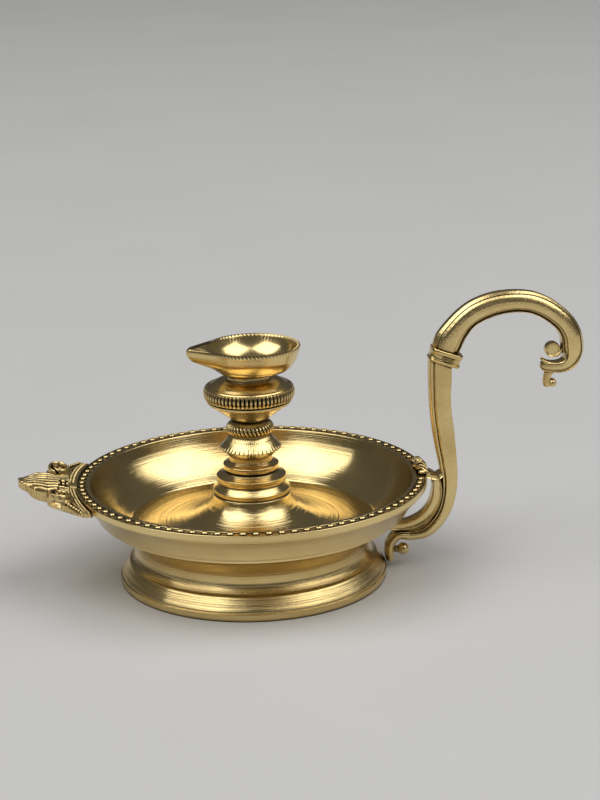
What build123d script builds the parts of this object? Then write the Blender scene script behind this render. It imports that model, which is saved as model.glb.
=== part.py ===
"""Hand-held brass oil lamp: wick cup on a turned stem, in a beaded dish with a swan-neck handle.

Millimetres. +Z is up and the lamp stands on z = 0, with the stem's axis on Z. The handle is on
the +X side, the crest and the cup's pouring lip are on the -X side, and y = 0 is the plane of
symmetry.
"""
import os
from math import acos, cos, pi, radians, sin

from build123d import *

# Foot ring
FOOT_RADIUS = 42.0
FOOT_BAND = 2.8
FOOT_CONE_RADIUS = 38.6
FOOT_CONE_HEIGHT = 6.9
FOOT_WAIST_RADIUS = 36.2
FOOT_WAIST_HEIGHT = 10.4
FOOT_TALL = 13.5
FOOT_WALL = 2.4
FOOT_CONE_STEP = 0.4
FOOT_COVE = 0.5
FOOT_THROAT = 0.2
SPIGOT_WALL = 1.2
SPIGOT_FILL = 0.667

# Dish
JOINT_RADIUS = 37.2
LIP_RADIUS = 46.5
LIP_HEIGHT = 20.6
LIP_TALL = 0.8
EDGE_RADIUS = 48.8
EDGE_HEIGHT = 22.3
RIM_RADIUS = 55.0
RIM_TOP = 32.4
RIM_SIDE = 2.8
RIM_STEP = 0.5
RIM_LAND = 4.5
RIM_EDGE_LINE = 0.7
RIM_INNER_LAND = 1.3
BEAD_CHANNEL_DEPTH = 0.7
FLOOR_RADIUS = 38.2
FLOOR_HEIGHT = 18.0
FLOOR_THICKNESS = 1.8
BOWL_BOW = 2.0
BOSS_RADIUS = 8.0
BOSS_LIP = 0.5
SOCKET_COVE = 1.2
WALL_COVE = 0.4
INNER_LAND_DROP = 0.2

# Beads on the rim
BEAD_COUNT = 88
BEAD_RADIUS = 1.15
BEAD_HEIGHT = 0.8
BEAD_STRIP = 0.3
BEAD_SINK = 0.1
BEAD_SIDES = 8
BEAD_TAPER = 32.0
BEAD_CLEAR_ANGLE = 1.0

# Stem, each piece measured from its own seat
STEM_FOOT_RADIUS = 27.0
STEM_FOOT_EDGE = 0.5
STEM_FOOT_TALL = 21.3
COLUMN_RADIUS = 12.5
COLUMN_START = 6.6
RING_RADII = (12.2, 10.9, 8.7)
RING_LEVELS = (10.4, 14.5, 18.2)
RING_TALLS = (2.0, 2.8, 2.6)
RING_FULLNESS = 0.42
RING_GROOVE = 0.3
COLUMN_TAPER = 0.3
FLARE_BOW = 1.5
NECK_RADIUS = 6.8
KNOP_RADIUS = 9.8
KNOP_TALL = 6.8
KNOP_EDGE_LEVEL = 2.7
KNOP_TOP_RADIUS = 6.2
KNOP_NOTCHES = 40
NOTCH_DEPTH = 0.5
NOTCH_TALL = 0.6
KNOP_BOW = 0.15
COLLAR_RADIUS = 7.5
COLLAR_TALL = 4.8
COLLAR_BAND = 0.3
COLLAR_LEDGE = 0.2
REED_COUNT = 36
REED_TALL = 3.7
REED_DEPTH = 0.45
REED_SLANT = 7.0
BULB_RADIUS = 14.3
BULB_TALL = 13.0
BULB_BASE_RADIUS = 5.6
RIB_COUNT = 66
RIB_DEPTH = 0.5
RIB_START = 7.0
RIB_END = 10.6
RIB_WIDEST = 0.47
BULB_LIP_RADIUS = 13.2
BULB_LIP_LEVEL = 5.8
LIP_BEAD = 0.6
BELLY_BOW = 1.0
DOME_BOW = 0.35
CUP_NECK_RADIUS = 6.8
CUP_TALL = 10.6
CUP_RADIUS = 14.8
CUP_OFFSET = 1.5
CUP_WALL = 1.7
CUP_FLOOR = 2.9
CUP_KEEL_RADIUS = 12.2
CUP_KEEL_LEVEL = 2.6
CUP_SPIGOT = 5.5
NEAR_ROUND = 1.04
SPOUT_RAKE = 2.2
SPOUT_REACH = 20.7
SPOUT_ROUND = 1.6
SPOUT_LIP = 3.2
STUD_RADIUS = 4.0
THREAD_LENGTH = 7.5
THREAD_CLEARANCE = 0.05
STUD_CUP_GAP = 0.5
CORE_WALL = 1.0
WASHER_RADIUS = 12.0
WASHER_THICKNESS = 1.0
WASHER_PLAY = 0.3
STEM_FLOOR_GAP = 0.3

# Handle, in the plane y = 0
SHANK_STANDOFF = 4.75
SHANK_WIDTH = 7.3
SHANK_DEPTH = 6.4
SHANK_TALL = 65.6
TAIL_WIDTH = 2.6
BRACKET_WIDTH = 3.1
BRACKET_DEPTH = 5.0
HANDLE_COLLAR_WIDTH = 10.3
HANDLE_COLLAR_DEPTH = 9.0
HANDLE_COLLAR_TALL = 4.4
HANDLE_COLLAR_RING = 1.4
HANDLE_COLLAR_LEAN = 14.5
COLLAR_OVERHANG = 1.65
COLLAR_HOLLOW = 0.8
COLLAR_CORNER = 0.35
HOOK_WIDTH = 7.0
HOOK_ROOT = 8.8
HOOK_ROOT_SHIFT = 0.9
HOOK_DEPTH = 6.4
EYE_RADIUS = 2.6
EYE_DEPTH = 2.6
EYE_X = 32.95
EYE_Z = -1.1
EYE_CURL = 1.0
EYE_CURL_DEPTH = 2.0
DROP_RADIUS = 1.45
DROP_TALL = 4.3
DROP_BEAD_RADIUS = 1.3
DROP_X = 31.7
DROP_Z = -12.26
BALL_RADIUS = 1.95
BALL_NECK = 1.3
BALL_HEIGHT = 5.2
TENON_RADIUS = 2.0
TENON_DEPTH = 4.0
SHANK_BEVEL = 0.7
BRACKET_BEVEL = 0.4
HOOK_BEVEL = 0.9
# Shank: offset outwards, share of its height, share of its width
SHANK_STATIONS = (
    (0.2, 0.93, 1.0),
    (0.15, 0.835, 0.93),
    (0.5, 0.752, 0.93),
    (1.2, 0.671, 0.93),
    (1.85, 0.59, 0.88),
    (2.55, 0.514, 0.8),
    (3.0, 0.442, 0.71),
    (2.9, 0.373, 0.66),
    (1.95, 0.299, 0.6),
    (0.45, 0.247, 0.56),
    (-1.85, 0.2, 0.53),
    (-5.1, 0.163, 0.48),
)
# Tail: offset from the foot ring's side, share of the ball's height, share of its width
TAIL_STATIONS = (
    (6.7, 1.92, 1.08),
    (2.9, 1.98, 1.04),
    (0.4, 1.5, 1.0),
    (-0.05, 0.96, 1.0),
    (0.1, 0.42, 0.85),
)
# Bracket: shares of the way in from the shank to the foot ring, of the rise to the rim, and of its width
BRACKET_SHARES = (
    (0.113, 0.892, 0.8),
    (0.051, 0.766, 0.95),
    (0.04, 0.567, 1.0),
    (0.087, 0.31, 1.0),
    (0.206, 0.094, 1.0),
    (0.37, -0.031, 0.95),
    (0.548, -0.083, 0.9),
    (0.734, -0.066, 0.85),
    (0.876, -0.031, 0.8),
    (1.0, 0.003, 0.75),
)
# Hook: distance and rise from the collar's top, share of its width
HOOK_STATIONS = (
    (0.3, 3.34, 1.257),
    (2.2, 6.34, 1.143),
    (4.9, 9.49, 1.057),
    (8.0, 11.84, 1.057),
    (11.75, 13.54, 1.057),
    (16.05, 14.64, 1.03),
    (21.0, 15.0, 0.986),
    (25.8, 14.44, 0.97),
    (30.1, 12.74, 0.957),
    (33.8, 10.24, 0.943),
    (37.0, 7.14, 0.943),
    (39.0, 3.44, 0.957),
    (39.5, 0.14, 1.0),
    (39.6, -2.26, 0.914),
    (39.0, -4.66, 0.714),
    (37.4, -6.26, 0.571),
    (35.1, -6.86, 0.514),
    (32.5, -6.76, 0.486),
    (29.7, -6.36, 0.4),
)

# Crest and leaf on the rim
CREST_REACH = 18.3
CREST_HALF_WIDTH = 24.0
CREST_THICKNESS = 2.5
CREST_TILT = 8.5
CREST_ROOT = 2.4
# Half outline of the crest: shares of its reach and half width, and bow of the edge before the point
CREST_SHARES = (
    (0.0, 1.02, 0.0),
    (0.36, 0.64, 0.05),
    (0.5, 0.48, -0.03),
    (0.52, 0.36, 0.0),
    (0.8, 0.2, -0.06),
)
VOLUTE_RADIUS = 3.9
VOLUTE_HEIGHT = 2.6
# Shares: volute's place along the reach and the half width, its crown, and the upper tier of the crest
VOLUTE_OUT = 0.32
VOLUTE_ASIDE = 0.53
VOLUTE_CROWN = 0.6
TIER_SCALE = 0.72
TIER_RISE = 0.33
TIER_TAPER = 20.0
LEAF_HALF_ANGLE = 9.0
LEAF_HALF_WIDTH = 2.3
LEAF_HEIGHT = 2.2
LEAF_OUTSET = 0.7
# Shares: the leaf's crown across and along, its side lobes, their spread and their tops
LEAF_CROWN_ACROSS = 0.7
LEAF_CROWN_ALONG = 0.85
LEAF_SIDE_LOBE = 0.75
LEAF_SPREAD = 0.55
LEAF_LOBE_TOP = 0.4

# Fit between pieces that are brazed or slipped together
FIT_GAP = 0.05
# Cutters run right through, and are this many times as long as the piece is tall
CUT_LENGTH = 4

# Heights of the seats, from the table up
FLOOR_UNDERSIDE = FLOOR_HEIGHT - FLOOR_THICKNESS
STEM_SEAT = FLOOR_HEIGHT + STEM_FLOOR_GAP
KNOP_SEAT = STEM_SEAT + STEM_FOOT_TALL
COLLAR_SEAT = KNOP_SEAT + KNOP_TALL
BULB_SEAT = COLLAR_SEAT + COLLAR_TALL
CUP_SEAT = BULB_SEAT + BULB_TALL
STUD_FOOT = FLOOR_HEIGHT - THREAD_LENGTH
STUD_TOP = CUP_SEAT - CUP_SPIGOT - STUD_CUP_GAP
BORE_RADIUS = STUD_RADIUS + THREAD_CLEARANCE


def outline(*corners):
    """Closed face through corners (x, y); a third number bows the edge that ends at the corner."""
    edges = []
    for here, there in zip(corners, corners[1:] + corners[:1]):
        bow = there[2] if len(there) > 2 else 0
        if bow:
            edges.append(SagittaArc(here[:2], there[:2], bow))
        else:
            edges.append(Line(here[:2], there[:2]))
    return make_face(edges)


def turned(*corners):
    """Solid of revolution about Z from an outline of (radius, height) corners."""
    return revolve(Plane.XZ * outline(*corners), Axis.Z)


def star(count, outer, inner, height, turn=0.0):
    """Toothed disc face with a pointed tooth at each step, at a height."""
    corners = []
    for step in range(2 * count):
        angle = radians(turn) + step * pi / count
        radius = inner if step % 2 else outer
        corners.append((radius * cos(angle), radius * sin(angle)))
    return Pos(0, 0, height) * make_face(Polyline(*corners, close=True))


def core_hole(tall):
    """Cutter that keeps a toothed disc clear of the stud, for a piece of a height."""
    return Cylinder(BORE_RADIUS + CORE_WALL, CUT_LENGTH * tall)


def bar(stations, start, depth, bevel):
    """Flat cast bar with bevelled edges, along stations (x, z, width) in the plane y = 0."""
    middles = [Vector(x, 0, z) for x, z, _ in stations]
    courses = [start]
    for before, after in zip(middles, middles[2:]):
        courses.append((after - before).normalized())
    courses.append((middles[-1] - middles[-2]).normalized())
    layers = []
    for y, inset in (
        (-depth / 2, bevel),
        (-depth / 2 + bevel, 0),
        (depth / 2 - bevel, 0),
        (depth / 2, bevel),
    ):
        outer = []
        inner = []
        for middle, course, (_, _, width) in zip(middles, courses, stations):
            half = Vector(0, 1, 0).cross(course) * (width / 2 - inset)
            outer.append(middle + Vector(0, y, 0) + half)
            inner.append(middle + Vector(0, y, 0) - half)
        sides = [Spline(*outer), Line(outer[-1], inner[-1]), Spline(*inner[::-1]), Line(inner[0], outer[0])]
        layers.append(make_face(sides))
    return loft(layers, ruled=True)


def foot_ring():
    """Waisted ring with an upright band at the table and a spigot that centres the dish."""
    inside = FOOT_WAIST_RADIUS - FOOT_WALL
    spigot = inside + SPIGOT_WALL
    spigot_top = FOOT_TALL + SPIGOT_FILL * (FLOOR_UNDERSIDE - FOOT_TALL)
    return turned(
        (FOOT_RADIUS - FOOT_WALL, 0),
        (FOOT_RADIUS, 0),
        (FOOT_RADIUS, FOOT_BAND),
        (FOOT_CONE_RADIUS + FOOT_CONE_STEP, FOOT_CONE_HEIGHT),
        (FOOT_CONE_RADIUS, FOOT_CONE_HEIGHT),
        (FOOT_WAIST_RADIUS, FOOT_WAIST_HEIGHT, FOOT_COVE),
        (JOINT_RADIUS, FOOT_TALL, FOOT_THROAT),
        (spigot, FOOT_TALL),
        (spigot, spigot_top),
        (inside, spigot_top),
        (inside, FOOT_WAIST_HEIGHT),
        (FOOT_RADIUS - FOOT_WALL, FOOT_BAND),
    )


def dish():
    """Turned dish: flared socket below, sloping wall, broad rim with a channel for the beads."""
    socket = FOOT_WAIST_RADIUS - FOOT_WALL + SPIGOT_WALL + FIT_GAP
    channel_outer = RIM_RADIUS - RIM_EDGE_LINE
    rim_inner = RIM_RADIUS - RIM_LAND
    channel_inner = rim_inner + RIM_INNER_LAND
    channel_floor = RIM_TOP - BEAD_CHANNEL_DEPTH
    return turned(
        (BORE_RADIUS, STUD_FOOT - BOSS_LIP),
        (BOSS_RADIUS, STUD_FOOT - BOSS_LIP),
        (BOSS_RADIUS, FLOOR_UNDERSIDE),
        (socket, FLOOR_UNDERSIDE),
        (socket, FOOT_TALL),
        (JOINT_RADIUS, FOOT_TALL),
        (LIP_RADIUS, LIP_HEIGHT, SOCKET_COVE),
        (LIP_RADIUS, LIP_HEIGHT + LIP_TALL),
        (EDGE_RADIUS, EDGE_HEIGHT),
        (RIM_RADIUS - RIM_STEP, RIM_TOP - RIM_SIDE, WALL_COVE),
        (RIM_RADIUS, RIM_TOP - RIM_SIDE + RIM_STEP),
        (RIM_RADIUS, RIM_TOP),
        (channel_outer, RIM_TOP),
        (channel_outer, channel_floor),
        (channel_inner, channel_floor),
        (channel_inner, RIM_TOP - INNER_LAND_DROP),
        (rim_inner, RIM_TOP - INNER_LAND_DROP),
        (FLOOR_RADIUS, FLOOR_HEIGHT, BOWL_BOW),
        (BORE_RADIUS, FLOOR_HEIGHT),
    )


def rim_beading():
    """Strip with a row of beads, laid in the channel of the rim."""
    floor = RIM_TOP - BEAD_CHANNEL_DEPTH
    outer = RIM_RADIUS - RIM_EDGE_LINE - FIT_GAP
    inner = RIM_RADIUS - RIM_LAND + RIM_INNER_LAND + FIT_GAP
    strip = turned((inner, floor), (outer, floor), (outer, floor + BEAD_STRIP), (inner, floor + BEAD_STRIP))
    bead = extrude(RegularPolygon(BEAD_RADIUS, BEAD_SIDES), BEAD_HEIGHT, taper=BEAD_TAPER)
    row = PolarLocations((inner + outer) / 2, BEAD_COUNT)
    beads = []
    for number, place in enumerate(row):
        from_leaf = abs((number / BEAD_COUNT * 360 + 180) % 360 - 180)
        if from_leaf > LEAF_HALF_ANGLE + BEAD_CLEAR_ANGLE:
            beads.append(Pos(0, 0, floor + BEAD_STRIP - BEAD_SINK) * place * bead)
    return strip.fuse(*beads)


def stem_foot():
    """Trumpet foot of the stem: a wide flare, a short column, three turned rings and a neck."""
    recess = WASHER_THICKNESS - STEM_FLOOR_GAP
    recess_radius = WASHER_RADIUS + WASHER_PLAY
    corners = [
        (BORE_RADIUS, recess),
        (recess_radius, recess),
        (recess_radius, 0),
        (STEM_FOOT_RADIUS, 0),
        (STEM_FOOT_RADIUS, STEM_FOOT_EDGE),
        (COLUMN_RADIUS, COLUMN_START, FLARE_BOW),
        (COLUMN_RADIUS - COLUMN_TAPER, RING_LEVELS[0] - RING_TALLS[0] / 2 - RING_GROOVE),
    ]
    for radius, level, tall in zip(RING_RADII, RING_LEVELS, RING_TALLS):
        root = radius - RING_FULLNESS * tall
        corners.append((root, level - tall / 2))
        corners.append((root, level + tall / 2, -RING_FULLNESS * tall))
    corners += [
        (NECK_RADIUS, RING_LEVELS[-1] + RING_TALLS[-1] / 2 + RING_GROOVE),
        (NECK_RADIUS, STEM_FOOT_TALL),
        (BORE_RADIUS, STEM_FOOT_TALL),
    ]
    return Pos(0, 0, STEM_SEAT) * turned(*corners)


def lower_knop():
    """Double cone with a nicked edge."""
    valley = KNOP_RADIUS - NOTCH_DEPTH
    cones = turned(
        (BORE_RADIUS, 0),
        (NECK_RADIUS, 0),
        (valley, KNOP_EDGE_LEVEL),
        (KNOP_TOP_RADIUS, KNOP_TALL, -KNOP_BOW),
        (BORE_RADIUS, KNOP_TALL),
    )
    shoulder = valley - NOTCH_DEPTH
    levels = [
        star(KNOP_NOTCHES, shoulder, shoulder - NOTCH_DEPTH, KNOP_EDGE_LEVEL - NOTCH_TALL),
        star(KNOP_NOTCHES, KNOP_RADIUS, valley, KNOP_EDGE_LEVEL),
        star(KNOP_NOTCHES, shoulder, shoulder - NOTCH_DEPTH, KNOP_EDGE_LEVEL + NOTCH_TALL),
    ]
    edge = loft(levels, ruled=True) - core_hole(KNOP_TALL)
    return Pos(0, 0, KNOP_SEAT) * (cones + edge)


def bead_collar():
    """Round collar with slanting reeds."""
    valley = COLLAR_RADIUS - REED_DEPTH
    shoulder = valley - REED_DEPTH
    root = shoulder - REED_DEPTH
    reed_end = COLLAR_BAND + REED_TALL
    body = turned(
        (BORE_RADIUS, 0),
        (KNOP_TOP_RADIUS + COLLAR_LEDGE, 0),
        (KNOP_TOP_RADIUS + COLLAR_LEDGE, COLLAR_BAND),
        (root, COLLAR_BAND),
        (root, reed_end),
        (BULB_BASE_RADIUS, COLLAR_TALL),
        (BORE_RADIUS, COLLAR_TALL),
    )
    middle = (COLLAR_BAND + reed_end) / 2
    levels = [
        star(REED_COUNT, shoulder, root, COLLAR_BAND),
        star(REED_COUNT, COLLAR_RADIUS, valley, middle, REED_SLANT),
        star(REED_COUNT, shoulder, root, reed_end, 2 * REED_SLANT),
    ]
    reeds = loft(levels, ruled=True) - core_hole(COLLAR_TALL)
    return Pos(0, 0, COLLAR_SEAT) * (body + reeds)


def ribbed_bulb():
    """Bulb: bellied underside, thin lip, upright-ribbed band and domed top."""
    valley = BULB_RADIUS - RIB_DEPTH
    shoulder = valley - RIB_DEPTH
    root = shoulder - RIB_DEPTH
    lip_end = BULB_LIP_LEVEL + LIP_BEAD
    body = turned(
        (BORE_RADIUS, 0),
        (BULB_BASE_RADIUS, 0),
        (BULB_LIP_RADIUS, BULB_LIP_LEVEL, -BELLY_BOW),
        (BULB_LIP_RADIUS, lip_end, -LIP_BEAD / 3),
        (root, lip_end),
        (root, RIB_END),
        (shoulder, RIB_END),
        (CUP_NECK_RADIUS, BULB_TALL, -DOME_BOW),
        (BORE_RADIUS, BULB_TALL),
    )
    widest = RIB_START + RIB_WIDEST * (RIB_END - RIB_START)
    levels = [
        star(RIB_COUNT, valley, shoulder, RIB_START),
        star(RIB_COUNT, BULB_RADIUS, valley, widest),
        star(RIB_COUNT, valley, shoulder, RIB_END),
    ]
    ribs = loft(levels, ruled=True) - core_hole(BULB_TALL)
    return Pos(0, 0, BULB_SEAT) * (body + ribs)


def teardrop(radius, reach, height, centre=CUP_OFFSET):
    """Tear-drop face: a circle drawn out to a rounded point at a reach towards -X."""
    span = reach - SPOUT_ROUND
    lean = acos((radius - SPOUT_ROUND) / span)
    wide = (-radius * cos(lean), radius * sin(lean))
    narrow = (-span - SPOUT_ROUND * cos(lean), SPOUT_ROUND * sin(lean))
    edges = [
        ThreePointArc((wide[0], -wide[1]), (radius, 0), wide),
        Line(wide, narrow),
        ThreePointArc(narrow, (-reach, 0), (narrow[0], -narrow[1])),
        Line((narrow[0], -narrow[1]), (wide[0], -wide[1])),
    ]
    return Pos(centre, 0, height) * make_face(edges)


def wick_cup():
    """Tear-drop oil cup on a short neck, with a screw spigot below."""
    keel = CUP_KEEL_RADIUS
    underside = loft([
        teardrop(CUP_NECK_RADIUS, NEAR_ROUND * CUP_NECK_RADIUS, 0, 0),
        teardrop(keel, NEAR_ROUND * keel, CUP_KEEL_LEVEL),
    ])
    rise = CUP_TALL - CUP_KEEL_LEVEL
    middle = (keel + CUP_RADIUS) / 2
    wall = loft([
        teardrop(keel, NEAR_ROUND * keel, CUP_KEEL_LEVEL),
        teardrop(middle, SPOUT_REACH - SPOUT_RAKE, CUP_KEEL_LEVEL + rise / 2),
        teardrop(CUP_RADIUS, SPOUT_REACH, CUP_TALL),
    ])
    bowl = loft([
        teardrop(keel - 3 * CUP_WALL, NEAR_ROUND * (keel - 3 * CUP_WALL), CUP_FLOOR),
        teardrop(middle - CUP_WALL, SPOUT_REACH - SPOUT_RAKE - SPOUT_LIP, CUP_KEEL_LEVEL + rise / 2),
        teardrop(CUP_RADIUS - CUP_WALL, SPOUT_REACH - SPOUT_LIP, CUP_TALL),
    ])
    spigot = Pos(0, 0, -CUP_SPIGOT / 2) * Cylinder(STUD_RADIUS, CUP_SPIGOT)
    return Pos(0, 0, CUP_SEAT) * (underside + wall + spigot - bowl)


def stem_stud():
    """Rod that strings the stem's pieces together and screws into the boss of the dish."""
    return Pos(0, 0, (STUD_FOOT + STUD_TOP) / 2) * Cylinder(STUD_RADIUS, STUD_TOP - STUD_FOOT)


def stem_washer():
    """Flat sealing washer between the stem's foot and the dish."""
    ring = Cylinder(WASHER_RADIUS, WASHER_THICKNESS) - Cylinder(BORE_RADIUS + WASHER_PLAY, WASHER_THICKNESS)
    return Pos(0, 0, FLOOR_HEIGHT + WASHER_THICKNESS / 2) * ring


def collar_plane(rise):
    """Cross plane of the handle's collar at a distance along its leaning axis."""
    lean = radians(HANDLE_COLLAR_LEAN)
    along = Vector(sin(lean), 0, cos(lean))
    base = Vector(RIM_RADIUS + SHANK_STANDOFF + COLLAR_OVERHANG, 0, SHANK_TALL)
    return Plane(origin=base + along * rise, x_dir=(cos(lean), 0, -sin(lean)), z_dir=along)


def tenon_hole():
    """Clearance for the dowel through the collar, shank and hook."""
    length = HANDLE_COLLAR_TALL + 2 * TENON_DEPTH + 2 * FIT_GAP
    return collar_plane(HANDLE_COLLAR_TALL / 2) * Cylinder(TENON_RADIUS + FIT_GAP, length)


def handle_tenon():
    """Dowel that joins hook and shank through the collar."""
    length = HANDLE_COLLAR_TALL + 2 * TENON_DEPTH
    return collar_plane(HANDLE_COLLAR_TALL / 2) * Cylinder(TENON_RADIUS, length)


def shank_bar():
    """Upright bar and its S-shaped tail, down to the foot ring's band."""
    top = collar_plane(0)
    head = top.origin - top.x_dir * COLLAR_OVERHANG
    x = RIM_RADIUS + SHANK_STANDOFF
    tail_x = FOOT_RADIUS + FIT_GAP + TAIL_WIDTH / 2
    stations = [(head.X, head.Z, SHANK_WIDTH)]
    for offset, height, width in SHANK_STATIONS:
        stations.append((x + offset, height * SHANK_TALL, width * SHANK_WIDTH))
    for offset, height, width in TAIL_STATIONS:
        stations.append((tail_x + offset, height * BALL_HEIGHT, width * TAIL_WIDTH))
    keep_out = Cylinder(FOOT_RADIUS + FIT_GAP, 2 * FOOT_CONE_HEIGHT)
    return bar(stations, -top.z_dir, SHANK_DEPTH, SHANK_BEVEL) - keep_out


def handle_shank():
    """Shank with the hole for its dowel."""
    return shank_bar() - tenon_hole()


def handle_bracket():
    """Inner strap: from the rim's side, down inside the shank and in under the dish."""
    shank_x = RIM_RADIUS + SHANK_STANDOFF
    low = (FOOT_TALL + FLOOR_UNDERSIDE) / 2
    first_width = BRACKET_SHARES[0][2] * BRACKET_WIDTH
    stations = [(RIM_RADIUS - RIM_STEP, RIM_TOP - RIM_SIDE / 2, first_width)]
    for inwards, rise, width in BRACKET_SHARES:
        x = shank_x - inwards * (shank_x - JOINT_RADIUS)
        stations.append((x, low + rise * (RIM_TOP - low), width * BRACKET_WIDTH))
    strap = bar(stations, Vector(1, 0, 0), BRACKET_DEPTH, BRACKET_BEVEL)
    return strap - dish() - shank_bar()


def handle_ball():
    """Ball on a short neck in the curl of the tail."""
    tail_side = FOOT_RADIUS + FIT_GAP + TAIL_WIDTH
    centre_x = tail_side + BALL_NECK + BALL_RADIUS
    neck_length = BALL_NECK + BALL_RADIUS + TAIL_WIDTH / 2
    neck_x = centre_x - neck_length / 2
    neck = Pos(neck_x, 0, BALL_HEIGHT) * Rot(0, 90, 0) * Cylinder(BALL_RADIUS / 2, neck_length)
    return Pos(centre_x, 0, BALL_HEIGHT) * Sphere(BALL_RADIUS) + neck - shank_bar()


def handle_collar():
    """Sleeve with two raised rings and a hollow between them."""
    plain = HANDLE_COLLAR_TALL - 2 * HANDLE_COLLAR_RING
    rings = []
    for rise, tall, cut in (
        (0, HANDLE_COLLAR_RING, 0),
        (HANDLE_COLLAR_RING, plain, COLLAR_HOLLOW),
        (HANDLE_COLLAR_RING + plain, HANDLE_COLLAR_RING, 0),
    ):
        wide = HANDLE_COLLAR_WIDTH - cut
        deep = HANDLE_COLLAR_DEPTH - cut
        section = RectangleRounded(wide, deep, COLLAR_CORNER * deep)
        rings.append(extrude(collar_plane(rise) * section, tall))
    return rings[0] + rings[1] + rings[2] - tenon_hole()


def hook_bar():
    """Swan-neck bar, rolled up at its far end."""
    foot = collar_plane(HANDLE_COLLAR_TALL)
    root = foot.origin - foot.x_dir * HOOK_ROOT_SHIFT
    stations = [(root.X, root.Z, HOOK_ROOT)]
    for along, rise, width in HOOK_STATIONS:
        stations.append((foot.origin.X + along, foot.origin.Z + rise, width * HOOK_WIDTH))
    return bar(stations, foot.z_dir, HOOK_DEPTH, HOOK_BEVEL)


def handle_hook():
    """Hook with the hole for its dowel."""
    return hook_bar() - tenon_hole()


def hook_eye():
    """Round disc in the roll of the hook, and the curl that cups it."""
    base = collar_plane(HANDLE_COLLAR_TALL).origin
    disc = Cylinder(EYE_RADIUS, EYE_DEPTH)
    curl = Pos(EYE_CURL, 0, 0) * Cylinder(EYE_RADIUS, EYE_CURL_DEPTH)
    return Pos(base.X + EYE_X, 0, base.Z + EYE_Z) * Rot(90, 0, 0) * (disc + curl) - hook_bar()


def hook_drop():
    """Drop with a small bead, under the roll of the hook."""
    base = collar_plane(HANDLE_COLLAR_TALL).origin
    x = base.X + DROP_X
    z = base.Z + DROP_Z
    stem = Pos(x, 0, z + DROP_TALL / 2) * Cylinder(DROP_RADIUS, DROP_TALL)
    bead = Pos(x + DROP_RADIUS, 0, z + DROP_BEAD_RADIUS / 2) * Sphere(DROP_BEAD_RADIUS)
    return stem + Pos(x, 0, z) * Sphere(DROP_RADIUS) + bead - hook_bar()


def crest_face(scale):
    """Half-lobed outline of the palmette, mirrored; scale draws it in towards the rim."""
    inner = RIM_RADIUS - RIM_STEP
    reach = scale * CREST_REACH
    half = scale * CREST_HALF_WIDTH
    side = [(-inner + CREST_ROOT, half)]
    for out, wide, bow in CREST_SHARES:
        side.append((-inner - out * reach, wide * half, bow * half))
    tip = (-inner - reach - RIM_STEP, 0)
    mirrored = [(x, -y) + tuple(-bow for bow in rest) for x, y, *rest in reversed(side)]
    return outline(*side, tip, *mirrored)


def front_crest():
    """Palmette in two tiers with raised volutes, rising towards its tip."""
    plate = extrude(crest_face(1.0), CREST_THICKNESS)
    tier = extrude(crest_face(TIER_SCALE), TIER_RISE * CREST_THICKNESS, taper=TIER_TAPER)
    crest = plate + Pos(0, 0, CREST_THICKNESS) * tier
    volute_x = -RIM_RADIUS - VOLUTE_OUT * CREST_REACH
    for side in (-1, 1):
        volute = Cone(VOLUTE_RADIUS, VOLUTE_CROWN * VOLUTE_RADIUS, VOLUTE_HEIGHT)
        place = Pos(volute_x, side * VOLUTE_ASIDE * CREST_HALF_WIDTH, CREST_THICKNESS + VOLUTE_HEIGHT / 2)
        crest += place * volute
    tilted = Pos(-RIM_RADIUS, 0, RIM_TOP - RIM_SIDE) * Rot(0, CREST_TILT, 0) * Pos(RIM_RADIUS, 0, 0) * crest
    return tilted - Cylinder(RIM_RADIUS + FIT_GAP, CUT_LENGTH * RIM_TOP)


def rim_leaf():
    """Small lobed leaf that stands on the rim over the handle's bracket."""
    middle = RIM_RADIUS - RIM_LAND / 2 + LEAF_OUTSET
    half = middle * radians(LEAF_HALF_ANGLE)
    base = Ellipse(LEAF_HALF_WIDTH, half)
    crown = Pos(0, 0, LEAF_HEIGHT / 2) * Ellipse(LEAF_CROWN_ACROSS * LEAF_HALF_WIDTH, LEAF_CROWN_ALONG * half)
    leaf = Pos(middle, 0, 0) * loft([base, crown])
    for lobe in range(-1, 2):
        radius = LEAF_HALF_WIDTH * (LEAF_SIDE_LOBE if lobe else 1.0)
        place = Rot(0, 0, lobe * LEAF_SPREAD * LEAF_HALF_ANGLE) * Pos(middle, 0, LEAF_HEIGHT / 2)
        leaf += place * Cone(radius, LEAF_LOBE_TOP * radius, LEAF_HEIGHT)
    return Pos(0, 0, RIM_TOP) * leaf


def main():
    nodes = {
        "foot_ring": foot_ring(),
        "dish": dish(),
        "rim_beading": rim_beading(),
        "front_crest": front_crest(),
        "rim_leaf": rim_leaf(),
        "handle_shank": handle_shank(),
        "handle_bracket": handle_bracket(),
        "handle_ball": handle_ball(),
        "handle_collar": handle_collar(),
        "handle_tenon": handle_tenon(),
        "handle_hook": handle_hook(),
        "hook_eye": hook_eye(),
        "hook_drop": hook_drop(),
        "stem_washer": stem_washer(),
        "stem_stud": stem_stud(),
        "stem_foot": stem_foot(),
        "lower_knop": lower_knop(),
        "bead_collar": bead_collar(),
        "ribbed_bulb": ribbed_bulb(),
        "wick_cup": wick_cup(),
    }
    os.makedirs("parts", exist_ok=True)
    for name, solid in nodes.items():
        export_step(solid, f"parts/{name}.step")


main()
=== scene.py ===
"""Brass aarti lamp: finished surfaces, ornament, floor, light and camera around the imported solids.

Lengths are millimetres in the shared frame: +X towards the handle, +Z up, table at z = 0.
"""
from math import acos, cos, exp, hypot, pi, radians, sin
from random import Random

import bmesh
import bpy
import numpy as np
from mathutils import Matrix, Vector


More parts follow.
